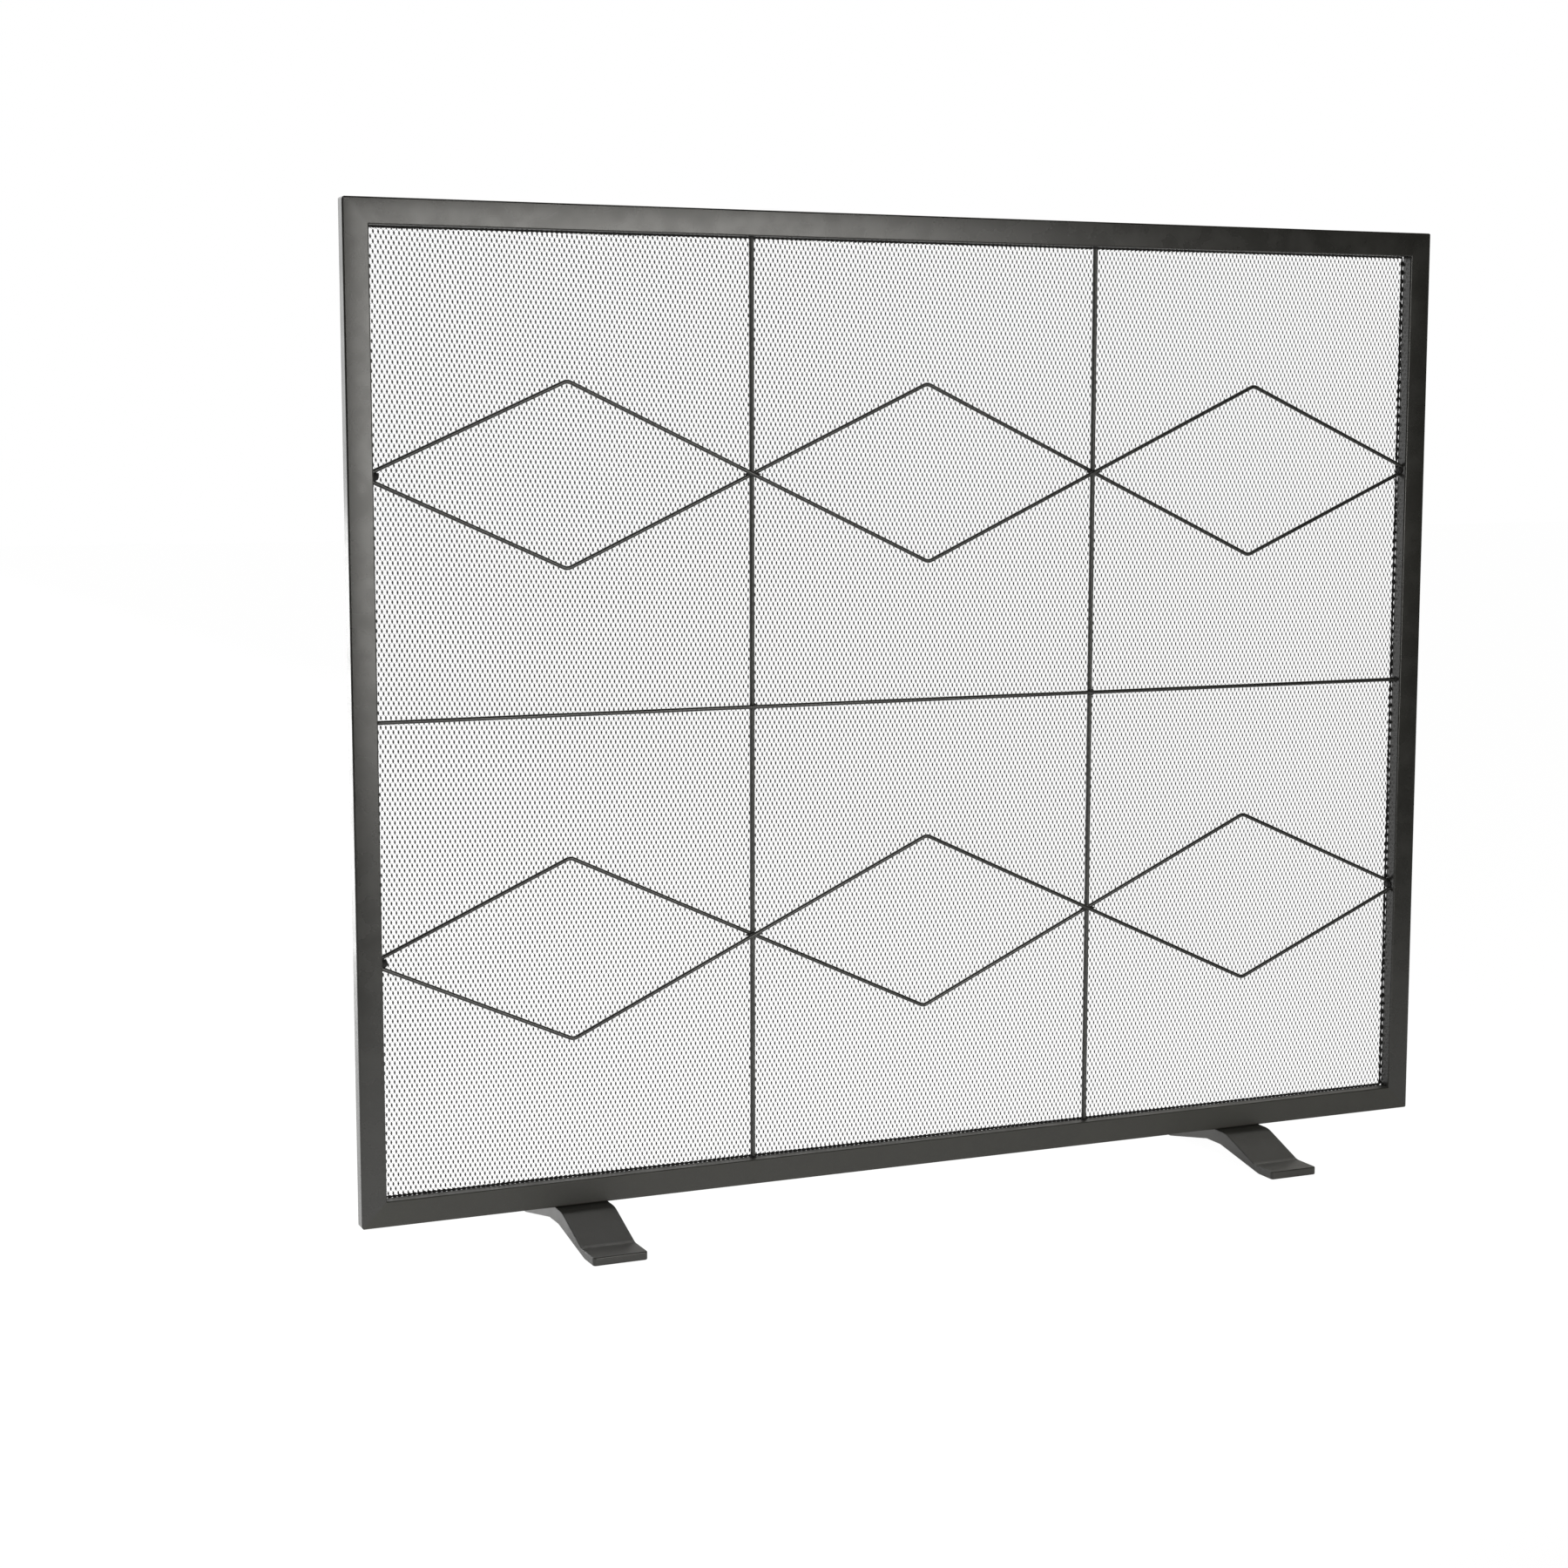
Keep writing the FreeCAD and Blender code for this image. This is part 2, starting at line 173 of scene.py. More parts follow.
def bump_of(material, height, distance, strength, below=None):
    """Socket with a normal bumped by a height value."""
    node = material.node_tree.nodes.new("ShaderNodeBump")
    node.inputs["Distance"].default_value = distance
    node.inputs["Strength"].default_value = strength
    material.node_tree.links.new(height, node.inputs["Height"])
    if below is not None:
        material.node_tree.links.new(below, node.inputs["Normal"])
    return node.outputs["Normal"]


# ---------------------------------------------------------------- materials


def crown_height(material, place, axis, middle, reach):
    """Socket with the height of a crowned face, on two tubes at the same reach from the middle."""
    tree = material.node_tree
    parts = tree.nodes.new("ShaderNodeSeparateXYZ")
    tree.links.new(place, parts.inputs["Vector"])
    value = parts.outputs[axis]
    steps = (("SUBTRACT", middle), ("ABSOLUTE", 0.0), ("SUBTRACT", reach), ("POWER", 2.0))
    for operation, number in steps:
        step = tree.nodes.new("ShaderNodeMath")
        step.operation = operation
        tree.links.new(value, step.inputs[0])
        step.inputs[1].default_value = number
        value = step.outputs["Value"]
    scaled = tree.nodes.new("ShaderNodeMath")
    scaled.operation = "MULTIPLY"
    tree.links.new(value, scaled.inputs[0])
    scaled.inputs[1].default_value = -CROWN
    return scaled.outputs["Value"]


def powder_coat(name, dark, light, smoothest, roughest, peel=0.10, crown=None, shine=0.5):
    """Satin powder coat: grey that drifts a little, fine orange peel, and specks of coarser powder."""
    material, shader = new_material(name)
    link = material.node_tree.links.new
    place = place_of(material)
    drift = noise_of(material, place, 5.0, detail=3.0)
    cloud = noise_of(material, place, 55.0, detail=4.0)
    speck = noise_of(material, place, 1400.0, detail=1.0)
    colour = mixed_colour(material, ranged(material, drift, 0.0, 1.0), dark, light)
    lighter = tuple(min(1.0, c * 1.35) for c in light)
    colour = mixed_colour(material, ranged(material, cloud, 0.0, 0.35, 0.45, 0.75), colour, lighter)
    colour = mixed_colour(material, ranged(material, speck, 0.0, 0.5, 0.60, 0.75), colour, lighter)
    link(colour, shader.inputs["Base Color"])
    link(ranged(material, cloud, smoothest, roughest), shader.inputs["Roughness"])
    orange_peel = noise_of(material, place, PEEL_PER_METRE, detail=2.0)
    below = None
    if crown is not None:
        below = bump_of(material, crown_height(material, place, *crown), 1.0, 1.0)
    waves = bump_of(material, noise_of(material, place, 60.0), WAVE_HEIGHT, 0.12, below)
    link(bump_of(material, orange_peel, PEEL_HEIGHT, peel, waves), shader.inputs["Normal"])
    shader.inputs["Specular IOR Level"].default_value = shine
    return material


def expanded_metal_coat():
    """Thin dark coat on the strands, with slightly worn patches and patches of dust."""
    material, shader = new_material("expanded_metal_coat")
    link = material.node_tree.links.new
    place = place_of(material)
    patch = noise_of(material, place, 14.0, detail=3.0)
    grain = noise_of(material, place, 900.0, detail=2.0)
    dark = (0.018, 0.0175, 0.017)
    dust_and_painted_light = (0.034, 0.0335, 0.031)
    colour = mixed_colour(material, ranged(material, patch, 0.0, 1.0), dark, dust_and_painted_light)
    link(colour, shader.inputs["Base Color"])
    link(ranged(material, grain, 0.38, 0.55), shader.inputs["Roughness"])
    link(bump_of(material, grain, 0.05 * mm, 0.2), shader.inputs["Normal"])
    return material


def blackened_steel(name, tint, smoothest, roughest):
    """Metal with a thin dark oxide, rubbed brighter in streaks and specks."""
    material, shader = new_material(name)
    link = material.node_tree.links.new
    place = place_of(material)
    rub = noise_of(material, place, 260.0, detail=4.0)
    grain = noise_of(material, place, 1800.0, detail=2.0)
    darker = tuple(0.45 * c for c in tint)
    rubbed = mixed_colour(material, ranged(material, rub, 0.0, 1.0), darker, tint)
    link(rubbed, shader.inputs["Base Color"])
    shader.inputs["Metallic"].default_value = 0.85
    link(ranged(material, grain, smoothest, roughest), shader.inputs["Roughness"])
    link(bump_of(material, grain, 0.04 * mm, 0.25), shader.inputs["Normal"])
    return material


def weld_coat():
    """Coat over lumpy weld metal and over the dark bead of painted shade along the sheet's edge: duller and
    darker than on the rods.
    """
    material, shader = new_material("weld_coat")
    link = material.node_tree.links.new
    place = place_of(material)
    lumps = noise_of(material, place, 900.0, detail=3.0)
    # The lumps' hollows are darker and their ridges lighter: painted shade and painted light on the lumps,
    # which also drive the bump.
    hollow = (0.009, 0.009, 0.009)
    ridge = (0.020, 0.019, 0.019)
    colour = mixed_colour(material, ranged(material, lumps, 0.0, 1.0), hollow, ridge)
    link(colour, shader.inputs["Base Color"])
    link(ranged(material, lumps, 0.55, 0.75), shader.inputs["Roughness"])
    link(bump_of(material, lumps, 0.10 * mm, 0.4), shader.inputs["Normal"])
    shader.inputs["Specular IOR Level"].default_value = 0.25
    return material


def wear(node, material):
    """Gives a CAD node's object one material in all its slots."""
    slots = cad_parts[node].data.materials
    if not slots:
        slots.append(material)
    for index in range(len(slots)):
        slots[index] = material


# ---------------------------------------------------------------- building pieces


def add_piece(name, points, faces, material, slot_name):
    """New mesh object in the row frame, riding on the one body."""
    mesh = bpy.data.meshes.new(name)
    mesh.from_pydata([tuple(p) for p in points], [], [tuple(f) for f in faces])
    mesh.update()
    mesh.validate()
    mesh.polygons.foreach_set("use_smooth", [True] * len(mesh.polygons))
    mesh.materials.append(material)
    piece = bpy.data.objects.new(name, mesh)
    bpy.context.scene.collection.objects.link(piece)
    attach(piece, "root")
    return piece


# ---------------------------------------------------------------- expanded metal


def bond_places(low, high):
    """Staggered bond places inside the sheet, and their row and column numbers.

    The rows fall a little towards the right and the columns lean, as they do in a sheet that was
    stretched by hand when it was fitted.
    """
    margin = BOND_PITCH_X
    half_x = (high.x - low.x) / 2
    columns = int(half_x / BOND_PITCH_X * 2) + 8
    rows = int((high.z - low.z) / BOND_PITCH_Z) + 12
    every_column = np.arange(-columns, columns + 1)
    every_row = np.arange(-rows, rows + 1)
    number_x, number_z = np.meshgrid(every_column, every_row, indexing="ij")
    across = number_x * BOND_PITCH_X / 2
    up = number_z * BOND_PITCH_Z / 2
    x = across + COLUMN_LEAN * up
    z = (low.z + high.z) / 2 + up - ROW_FALL * across + ROW_FALL_CHANGE * across ** 2 / (2 * half_x)
    centre_x = (low.x + high.x) / 2
    x = x + centre_x
    staggered = (number_x + number_z) % 2 == 0
    inside = (
        (x > low.x + margin / 2)
        & (x < high.x - margin / 2)
        & (z > low.z + BOND_HEIGHT)
        & (z < high.z - BOND_HEIGHT)
    )
    return x, z, staggered & inside


def bond_corners(x, z, depth):
    """Sixteen corners for each bond, in a plane that is turned and leans a little.

    Each end has left, middle and right corners, and the bond is widest halfway up.
    """
    spots = [(end, across * STRAND_WIDTH) for end in (-1, 1) for across in (-1, 0, 1)]
    spots += [(0, across * BOND_WIDTH / 2) for across in (-1, 1)]
    corners = np.empty((len(x), len(spots), 2, 3))
    for number, (up, width) in enumerate(spots):
        lean = -up * math.tan(BOND_LEAN) * BOND_HEIGHT / 2
        for face, back in ((0, -1), (1, 1)):
            thick = back * SHEET_THICKNESS / 2
            at = corners[:, number, face]
            at[:, 0] = x + lean + width * math.cos(BOND_TURN) - thick * math.sin(BOND_TURN)
            at[:, 1] = depth + width * math.sin(BOND_TURN) + thick * math.cos(BOND_TURN)
            at[:, 2] = z + up * BOND_HEIGHT / 2
    return corners.reshape(len(x), CORNERS, 3)


def corner(end, column, face):
    """Number of a corner at a bond's lower or upper end: left, middle or right, front or back."""
    return (end * 3 + column) * 2 + face


def waist(side, face):
    """Number of a corner halfway up a bond: left or right, front or back."""
    return (6 + side) * 2 + face


def bond_faces():
    """Sides (four corners) and front and back faces (five corners) of one bond, with open ends."""
    sides = [
        [corner(0, 0, 1), corner(0, 0, 0), waist(0, 0), waist(0, 1)],
        [waist(0, 1), waist(0, 0), corner(1, 0, 0), corner(1, 0, 1)],
        [corner(0, 2, 0), corner(0, 2, 1), waist(1, 1), waist(1, 0)],
        [waist(1, 0), waist(1, 1), corner(1, 2, 1), corner(1, 2, 0)],
    ]
    fronts = []
    for face in (0, 1):
        lower = [corner(0, column, face) for column in (0, 1, 2)] + [waist(1, face), waist(0, face)]
        upper = [waist(0, face), waist(1, face)] + [corner(1, column, face) for column in (2, 1, 0)]
        fronts += [lower, upper] if face == 0 else [lower[::-1], upper[::-1]]
    return np.array(sides), np.array(fronts)


def half_end(end, half):
    """Corners round the left or right half of a bond's end, seen from above."""
    front = [corner(end, half, 0), corner(end, half + 1, 0)]
    back = [corner(end, half + 1, 1), corner(end, half, 1)]
    return front + back


def corner_numbers(bonds, pattern):
    """Vertex numbers of a face pattern on each of some bonds."""
    pattern = np.atleast_2d(pattern)
    return (bonds[:, None, None] * CORNERS + pattern[None]).reshape(-1, pattern.shape[1])


def section_faces(mine, lower, upper, halves):
    """Faces of one section, of four and of five corners, with its cut strands and bare ends closed."""
    own = np.flatnonzero(mine)
    sides, fronts = bond_faces()
    quads = [corner_numbers(own, sides)]
    joined_up = np.zeros((len(mine), 2), bool)
    joined_down = np.zeros((len(mine), 2), bool)
    for half in (0, 1):
        chosen = mine[lower] & (halves == half)
        start, end = lower[chosen], upper[chosen]
        joined_up[start, half] = True
        joined_down[end, 1 - half] = True
        foot = corner_numbers(start, half_end(1, half))
        head = corner_numbers(end, half_end(0, 1 - half))
        for k in range(4):
            n = (k + 1) % 4
            quads.append(np.stack([foot[:, k], foot[:, n], head[:, n], head[:, k]], 1))
        quads.append(head[~mine[end]])
    for half in (0, 1):
        quads.append(corner_numbers(own[~joined_up[own, half]], half_end(1, half)))
        quads.append(corner_numbers(own[~joined_down[own, half]], half_end(0, half)[::-1]))
    return np.concatenate(quads), corner_numbers(own, fronts)


def mesh_section(name, faces_by_size, corners, material):
    """Piece made of one section's faces."""
    sizes = np.concatenate([np.full(len(faces), faces.shape[1]) for faces in faces_by_size])
    loops = np.concatenate([faces.ravel() for faces in faces_by_size])
    used, loops = np.unique(loops, return_inverse=True)
    starts = np.concatenate([[0], np.cumsum(sizes)[:-1]])
    mesh = bpy.data.meshes.new(name)
    mesh.vertices.add(len(used))
    mesh.vertices.foreach_set("co", corners.reshape(-1, 3)[used].astype(np.float32).ravel())
    mesh.loops.add(len(loops))
    mesh.loops.foreach_set("vertex_index", loops.astype(np.int32).ravel())
    mesh.polygons.add(len(sizes))
    mesh.polygons.foreach_set("loop_start", starts.astype(np.int32))
    mesh.polygons.foreach_set("use_smooth", np.ones(len(sizes), bool))
    mesh.update(calc_edges=True)
    mesh.materials.append(material)
    piece = bpy.data.objects.new(name, mesh)
    bpy.context.scene.collection.objects.link(piece)
    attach(piece, "root")
    return piece


def strands_between(number):
    """Lower bond, upper bond and half of the lower bond's end, for every strand of the sheet."""
    lower, upper, halves = [], [], []
    all_but_first = slice(1, None)
    all_but_last = slice(None, -1)
    for half, (here, there) in enumerate(((all_but_first, all_but_last), (all_but_last, all_but_first))):
        below = number[here, :-1]
        above = number[there, 1:]
        both = (below >= 0) & (above >= 0)
        lower.append(below[both])
        upper.append(above[both])
        halves.append(np.full(both.sum(), half))
    return np.concatenate(lower), np.concatenate(upper), np.concatenate(halves)


def expanded_metal(material):
    """The whole sheet, in sections that join strand to strand."""
    low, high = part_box("mesh_panel")
    x, z, present = bond_places(low, high)
    number = np.full(x.shape, -1)
    number[present] = np.arange(present.sum())
    corners = bond_corners(x[present], z[present], (low.y + high.y) / 2)
    lower, upper, halves = strands_between(number)
    column = ((x[present] - low.x) / (high.x - low.x) * SECTIONS_ACROSS).astype(int)
    row = ((z[present] - low.z) / (high.z - low.z) * SECTIONS_UP).astype(int)
    pieces = []
    for r in range(SECTIONS_UP):
        for c in range(SECTIONS_ACROSS):
            faces = section_faces((column == c) & (row == r), lower, upper, halves)
            pieces.append(mesh_section(f"expanded_metal_{r + 1}_{c + 1}", faces, corners, material))
    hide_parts("mesh_panel")
    return pieces


# ---------------------------------------------------------------- welds


def ripple(point, size, seed):
    """Lumpiness of a weld bead at a point, between about -1 and 1."""
    return noise.noise(point / size + Vector((seed, seed * 0.7, -seed)))


def turned_bead(start, end, radii, seed=0.0, around=20, lump=0.12):
    """Closed bead along a line, as wide at each step as its list of radii says."""
    axis = (end - start).normalized()
    side = axis.orthogonal().normalized()
    other = axis.cross(side)
    points = [start]
    steps = len(radii)
    for k, radius in enumerate(radii):
        centre = start.lerp(end, (k + 0.5) / steps)
        for a in range(around):
            angle = 2 * math.pi * a / around
            out = side * math.cos(angle) + other * math.sin(angle)
            grown = radius * (1 + lump * ripple(centre + out * radius, LUMP_SIZE, seed))
            points.append(centre + out * grown)
    points.append(end)
    faces = []
    for a in range(around):
        b = (a + 1) % around
        faces.append((0, 1 + b, 1 + a))
        for k in range(steps - 1):
            low = 1 + k * around
            high = low + around
            faces.append((low + a, low + b, high + b, high + a))
        last = 1 + (steps - 1) * around
        faces.append((last + a, last + b, len(points) - 1))
    return points, faces


def collar(foot, axis, rod_radius, seed):
    """Fillet weld round a rod where it meets a tube: wide at the tube, and hollow towards the rod."""
    steps = 7
    radii = []
    for k in range(steps):
        share = (k + 0.5) / steps
        radii.append(rod_radius + COLLAR_REACH * (1 - share) ** 2.2)
    start = foot - axis * COLLAR_SUNK
    end = foot + axis * COLLAR_HEIGHT
    return turned_bead(start, end, radii, seed=seed, lump=0.10)


def drop_radii(widest, steps, blunt=0.25):
    """Radii of a bead that is blunt at its start and thins out towards its end."""
    radii = []
    for k in range(steps):
        share = (k + 0.5) / steps
        if share < blunt:
            radii.append(widest * math.sqrt(1 - (1 - share / blunt) ** 2))
        else:
            radii.append(widest * (1 - (share - blunt) / (1 - blunt)) ** 0.8)
    return radii


def stub_radii(widest, steps):
    """Radii of a bead that stays wide and ends bluntly."""
    return [widest * math.sqrt(1 - ((k + 0.5) / steps) ** 4) for k in range(steps)]


def round_radii(widest, steps):
    """Radii of an egg-shaped bead."""
    return [widest * math.sin(math.pi * (k + 0.5) / steps) ** 0.7 for k in range(steps)]


def joined(parts):
    """Several meshes as one list of points and one of faces."""
    points, faces = [], []
    for more_points, more_faces in parts:
        first = len(points)
        points += more_points
        faces += [tuple(first + v for v in face) for face in more_faces]
    return points, faces


def painted_shade_bead(material):
    """Dark bead along the sheet's edge, seen as a scalloped dark line all round the opening. It is painted
    shade: it stands in for the shade on the sheet's edge, where the strips behind it keep the light off.
    """
    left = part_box("left_stile")[1].x + SHADE_BEAD_INSET
    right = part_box("right_stile")[0].x - SHADE_BEAD_INSET
    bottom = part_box("bottom_rail")[1].z + SHADE_BEAD_INSET
    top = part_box("top_rail")[0].z - SHADE_BEAD_INSET
    low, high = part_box("mesh_panel")
    depth = (low.y + high.y) / 2
    places = ((left, bottom), (right, bottom), (right, top), (left, top))
    corners = [Vector((x, depth, z)) for x, z in places]
    parts = []
    for k, start in enumerate(corners):
        end = corners[(k + 1) % len(corners)]
        length = (end - start).length
        pitch = BOND_PITCH_X if k % 2 == 0 else BOND_PITCH_Z
        steps = int(length / pitch * SHADE_BEAD_STEPS_PER_BOND)
        turns = [2 * math.pi * (step + 0.5) / steps * length / pitch for step in range(steps)]
        radii = [SHADE_BEAD_RADIUS + SHADE_BEAD_WAVE * math.sin(turn) for turn in turns]
        parts.append(turned_bead(start, end, radii, seed=11.0 * k, around=8, lump=0.3))
    return add_piece("painted_shade_bead", *joined(parts), material, "mesh")


def rod_ends():
    """Places where the straight rods meet the tubes, the way out of the tube, and the rod's radius."""
    ends = []
    for node in ("left_upright_rod", "right_upright_rod"):
        low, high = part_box(node)
        radius = (high.x - low.x) / 2
        middle = (low + high) / 2
        ends.append((Vector((middle.x, middle.y, low.z)), Vector((0, 0, 1)), radius))
        ends.append((Vector((middle.x, middle.y, high.z)), Vector((0, 0, -1)), radius))
    low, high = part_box("middle_cross_rod")
    middle = (low + high) / 2
    radius = (high.z - low.z) / 2
    ends.append((Vector((low.x, middle.y, middle.z)), Vector((1, 0, 0)), radius))
    ends.append((Vector((high.x, middle.y, middle.z)), Vector((-1, 0, 0)), radius))
    return ends


def row_middle(row):
    """Height of the middle of a row of diamonds."""
    low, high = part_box(row + "_front_zigzag")
    return (low.z + high.z) / 2


def rod_layers():
    """Depths of the front rods and of the rods in the plane of the uprights."""
    front_low, front_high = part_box("upper_front_zigzag")
    back_low, back_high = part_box("upper_middle_back_rod")
    return (front_low.y + front_high.y) / 2, (back_low.y + back_high.y) / 2


def upright_xs():
    """X positions of the two uprights."""
    boxes = [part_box(node) for node in ("left_upright_rod", "right_upright_rod")]
    return [(low.x + high.x) / 2 for low, high in boxes]


def rod_end_welds(material):
    """Collars where the straight rods meet the tubes."""
    parts = []
    for k, (foot, axis, radius) in enumerate(rod_ends()):
        parts.append(collar(foot, axis, radius, seed=3.1 * k))
    return add_piece("rod_end_welds", *joined(parts), material, "rod_coat")


def stile_welds(material):
    """One blob at each place where a front rod and a back rod end together on a stile.

    It fills the corner between the two rods, further out on the left stile than on the right one.
    """
    front, back = rod_layers()
    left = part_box("left_stile")[1].x
    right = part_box("right_stile")[0].x
    parts = []
    for k, row in enumerate(("lower", "upper")):
        z = row_middle(row)
        for x, inward, reach in ((left, 1, LEFT_BLOB_REACH), (right, -1, RIGHT_BLOB_REACH)):
            start = Vector((x - inward * BLOB_SUNK, (front + back) / 2, z))
            end = start + Vector((inward * reach, 0, 0))
            radii = stub_radii(END_BLOB_RADIUS, 14)
            parts.append(turned_bead(start, end, radii, seed=7.7 * k + x * 50, lump=0.12))
    return add_piece("stile_welds", *joined(parts), material, "rod_coat")


def crossing_welds(material):
    """Webs in the acute corners where the rods cross the uprights, and tacks at the middle rod."""
    front, back = rod_layers()
    depth = (front + back) / 2
    parts = []
    for k, row in enumerate(("lower", "upper")):
        for x in upright_xs():
            for side in (-1, 1):
                start = Vector((x + side * WEB_START, depth, row_middle(row)))
                end = start + Vector((side * WEB_LENGTH, 0, 0))
                radii = drop_radii(WEB_RADIUS, 12)
                parts.append(turned_bead(start, end, radii, seed=2.3 * k + 90 * x + side, lump=0.2))
    low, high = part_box("middle_cross_rod")
    z = (low.z + high.z) / 2
    for x in upright_xs():
        for side in (-1, 1):
            for up in (-1, 1):
                centre = Vector((x + side * TACK_ASIDE, depth, z + up * TACK_ABOVE))
                start = centre - Vector((0, 0, TACK_RADIUS))
                end = centre + Vector((0, 0, TACK_RADIUS))
                radii = round_radii(TACK_RADIUS, 8)
                parts.append(turned_bead(start, end, radii, seed=70 * x + side + up))
    return add_piece("crossing_welds", *joined(parts), material, "rod_coat")


# ---------------------------------------------------------------- stage, light and camera


def floor():
    """Plain pale floor, far wider than the view, that runs into the white surroundings.

    To the camera it is almost even white. As a light it is dark far in front and fades to the right.
    """
    reach = 14.0
    corners = [(-reach, -reach, 0), (reach, -reach, 0), (reach, reach, 0), (-reach, reach, 0)]
    mesh = bpy.data.meshes.new("floor")
    mesh.from_pydata(corners, [], [(0, 1, 2, 3)])
    material, shader = new_material("pale_floor")
    shader.inputs["Roughness"].default_value = 0.9
    shader.inputs["Specular IOR Level"].default_value = 0.1
    shader.inputs["Emission Color"].default_value = (1, 1, 1, 1)
    tree = material.node_tree
    parts = tree.nodes.new("ShaderNodeSeparateXYZ")
    tree.links.new(place_of(material), parts.inputs["Vector"])
    near = ranged(material, parts.outputs["Y"], 0.0, 1.0, -FLOOR_DARK_FROM, -FLOOR_PALE_TO)
    leftness = ranged(material, parts.outputs["X"], 1.0, 0.0, GLOW_FULL_TO_X, GLOW_NONE_FROM_X)
    tree.links.new(mixed_colour(material, near, FAR_FLOOR, NEAR_FLOOR), shader.inputs["Base Color"])
    near_glow = ranged(material, near, 0.0, NEAR_FLOOR_GLOW, 0.0, 1.0)
    left_glow = tree.nodes.new("ShaderNodeMath")
    left_glow.operation = "MULTIPLY"
    tree.links.new(near_glow, left_glow.inputs[0])
    tree.links.new(leftness, left_glow.inputs[1])
    tree.links.new(left_glow.outputs["Value"], shader.inputs["Emission Strength"])
    glow = tree.nodes.new("ShaderNodeEmission")
    path = tree.nodes.new("ShaderNodeLightPath")
    share = tree.nodes.new("ShaderNodeMath")
    share.operation = "MULTIPLY"
    share.inputs[1].default_value = FLOOR_GLOW_SHARE
    tree.links.new(path.outputs["Is Camera Ray"], share.inputs[0])
    blend = tree.nodes.new("ShaderNodeMixShader")
    tree.links.new(share.outputs["Value"], blend.inputs["Fac"])
    tree.links.new(shader.outputs["BSDF"], blend.inputs[1])
    tree.links.new(glow.outputs["Emission"], blend.inputs[2])
    output = next(node for node in tree.nodes if node.type == "OUTPUT_MATERIAL")
    tree.links.new(blend.outputs["Shader"], output.inputs["Surface"])
    glow.inputs["Strength"].default_value = 1.03
    mesh.materials.append(material)
    plane = bpy.data.objects.new("floor", mesh)
    bpy.context.scene.collection.objects.link(plane)
    return plane


def area_light(name, place, target, width, height, power, colour=(1, 1, 1)):
    """Soft box at a place, turned to a target."""
    light = bpy.data.lights.new(name, "AREA")
    light.shape = "RECTANGLE"
    light.size = width
    light.size_y = height
    light.energy = power
    light.color = colour
    lamp = bpy.data.objects.new(name, light)
    lamp.location = place
    lamp.rotation_euler = (Vector(target) - Vector(place)).to_track_quat("-Z", "Y").to_euler()
    bpy.context.scene.collection.objects.link(lamp)
    lamp.visible_camera = False
    return lamp


def white_room():
    """Surroundings: white to the eye. As light, bright behind the screen, dim in front and to the right."""
    world = bpy.data.worlds.new("white_room")
    bpy.context.scene.world = world
    world.use_nodes = True
    tree = world.node_tree
    tree.nodes.clear()
    output = tree.nodes.new("ShaderNodeOutputWorld")
    seen = tree.nodes.new("ShaderNodeBackground")
    seen.inputs["Color"].default_value = (1, 1, 1, 1)
    seen.inputs["Strength"].default_value = 1.0
    light = tree.nodes.new("ShaderNodeBackground")
    direction = tree.nodes.new("ShaderNodeTexCoord")
    parts = tree.nodes.new("ShaderNodeSeparateXYZ")
    tree.links.new(direction.outputs["Generated"], parts.inputs["Vector"])
    spread = tree.nodes.new("ShaderNodeMapRange")
    spread.interpolation_type = "SMOOTHSTEP"
    spread.inputs["From Min"].default_value = -0.3
    spread.inputs["From Max"].default_value = 0.8
    spread.inputs["To Min"].default_value = 0.03
    spread.inputs["To Max"].default_value = 2.3
    tree.links.new(parts.outputs["Y"], spread.inputs["Value"])
    tree.links.new(spread.outputs["Result"], light.inputs["Strength"])
    right = ranged(world, parts.outputs["X"], 0.0, 1.0, RIGHT_FALLOFF_FROM, RIGHT_FALLOFF_TO)
    tree.links.new(mixed_colour(world, right, WORLD_ON_LEFT, WORLD_ON_RIGHT), light.inputs["Color"])
    path = tree.nodes.new("ShaderNodeLightPath")
    choice = tree.nodes.new("ShaderNodeMixShader")
    tree.links.new(path.outputs["Is Camera Ray"], choice.inputs["Fac"])
    tree.links.new(light.outputs["Background"], choice.inputs[1])
    tree.links.new(seen.outputs["Background"], choice.inputs[2])
    tree.links.new(choice.outputs["Shader"], output.inputs["Surface"])


def lights():
    """Soft boxes: one that the frame mirrors at its upper left, a weak one overhead, and a strip
    behind the left stile that lights its outer side."""
    area_light("front_soft_box", FRONT_LIGHT_PLACE, FRONT_LIGHT_TARGET, 1.15, 1.2, 34.0, FRONT_LIGHT_COLOUR)
    area_light("top_soft_box", TOP_LIGHT_PLACE, TOP_LIGHT_TARGET, 2.2, 1.6, 8.0)
    area_light("left_strip_light", LEFT_LIGHT_PLACE, LEFT_LIGHT_TARGET, 0.30, 0.50, 2.0)


def camera():
    """Camera at the height of the screen's upper half, to the left and in front of it."""
    data = bpy.data.cameras.new("camera")
    data.sensor_width = SENSOR_MM
    data.lens = CAMERA_LENS_MM
    data.shift_x = CAMERA_SHIFT_X
    data.shift_y = CAMERA_SHIFT_Y
    eye = bpy.data.objects.new("camera", data)
    eye.location = CAMERA_PLACE
    eye.rotation_euler = CAMERA_TURN
    bpy.context.scene.collection.objects.link(eye)
    bpy.context.scene.camera = eye


# ---------------------------------------------------------------- the screen


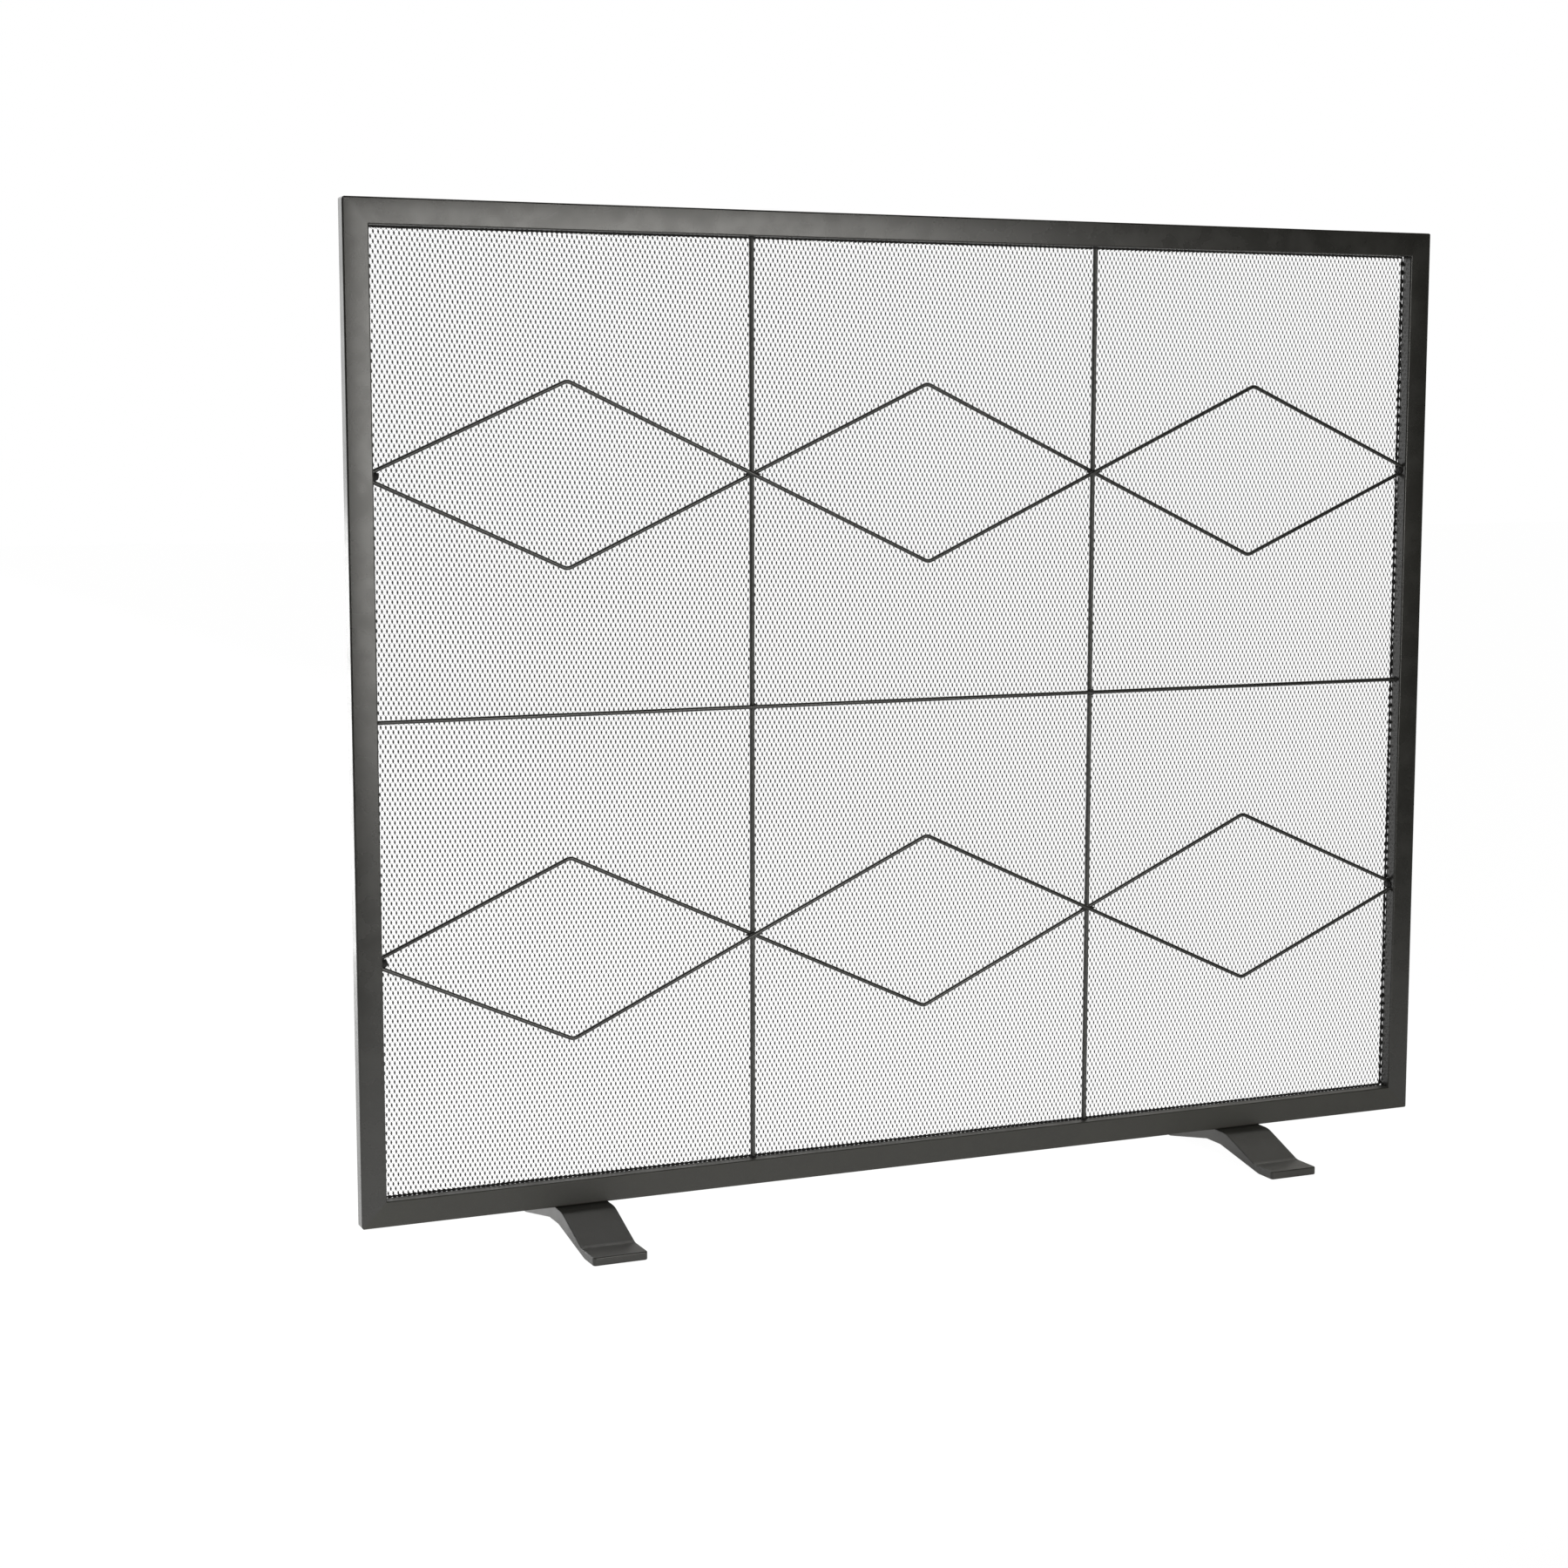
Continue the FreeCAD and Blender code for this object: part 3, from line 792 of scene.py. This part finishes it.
def dress_cad_nodes():
    """Materials of the CAD nodes that stay."""
    low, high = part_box("left_stile")
    tube = high.x - low.x
    frame_middle = (low.z + high.z) / 2
    grey = ((0.0155, 0.0152, 0.0132), (0.023, 0.0226, 0.0196), 0.24, 0.31)
    stile_coat = powder_coat("stile_coat", *grey, crown=("X", 0.0, -low.x - tube / 2))
    rail_coat = powder_coat("rail_coat", *grey, crown=("Z", frame_middle, (high.z - low.z - tube) / 2))
    # Bottom rail: a lighter, rougher, less shiny copy of the frame coat. Its lighter grey is painted light;
    # the roughness and lower shine tone down its reflections.
    dust_and_painted_light = ((0.025, 0.0245, 0.021), (0.035, 0.0345, 0.029), 0.42, 0.55)
    painted_light_rail_coat = powder_coat("painted_light_rail_coat", *dust_and_painted_light, shine=0.38)
    # Uprights: a lighter, rougher copy of the rod coat; the lighter grey is painted light on them.
    painted_light_upright_grey = ((0.035, 0.035, 0.033), (0.055, 0.055, 0.052), 0.42, 0.52)
    painted_light_upright_coat = powder_coat("painted_light_upright_coat", *painted_light_upright_grey, peel=0.16)
    satin = ((0.014, 0.014, 0.013), (0.023, 0.023, 0.021), 0.22, 0.31)
    rod_coat = powder_coat("rod_coat", *satin, peel=0.16)
    strip_coat = powder_coat("strip_coat", (0.014, 0.014, 0.013), (0.022, 0.022, 0.020), 0.42, 0.55)
    warm = ((0.023, 0.0225, 0.0195), (0.032, 0.0315, 0.0275), 0.28, 0.38)
    foot_coat = powder_coat("foot_coat", *warm, shine=0.42)
    screw_steel = blackened_steel("fastener_steel", (0.20, 0.20, 0.21), 0.30, 0.50)
    block_steel = blackened_steel("block_steel", (0.42, 0.41, 0.40), 0.35, 0.55)
    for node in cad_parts:
        if node == "bottom_rail":
            wear(node, painted_light_rail_coat)
        elif node == "top_rail":
            wear(node, rail_coat)
        elif node.endswith("_stile"):
            wear(node, stile_coat)
        elif node.endswith("_upright_rod"):
            wear(node, painted_light_upright_coat)
        elif node.endswith(("_rod", "_zigzag")):
            wear(node, rod_coat)
        elif node.endswith("_mesh_strip"):
            wear(node, strip_coat)
        elif node.endswith("_foot"):
            wear(node, foot_coat)
        elif node.endswith("_tapped_block"):
            wear(node, block_steel)
        elif node in ("foot_screws", "mesh_strip_rivets"):
            wear(node, screw_steel)


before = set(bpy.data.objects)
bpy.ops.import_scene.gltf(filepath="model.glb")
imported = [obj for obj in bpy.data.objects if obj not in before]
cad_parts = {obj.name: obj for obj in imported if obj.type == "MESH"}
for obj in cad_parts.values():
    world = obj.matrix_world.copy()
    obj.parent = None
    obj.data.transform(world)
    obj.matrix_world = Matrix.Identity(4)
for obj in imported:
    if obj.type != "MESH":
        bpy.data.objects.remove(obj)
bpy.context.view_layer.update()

dress_cad_nodes()
expanded_metal(expanded_metal_coat())
bead_coat = weld_coat()
painted_shade_bead(bead_coat)
rod_end_welds(bead_coat)
stile_welds(bead_coat)
crossing_welds(bead_coat)

floor()
white_room()
lights()
camera()
bpy.context.scene.view_settings.view_transform = "Standard"
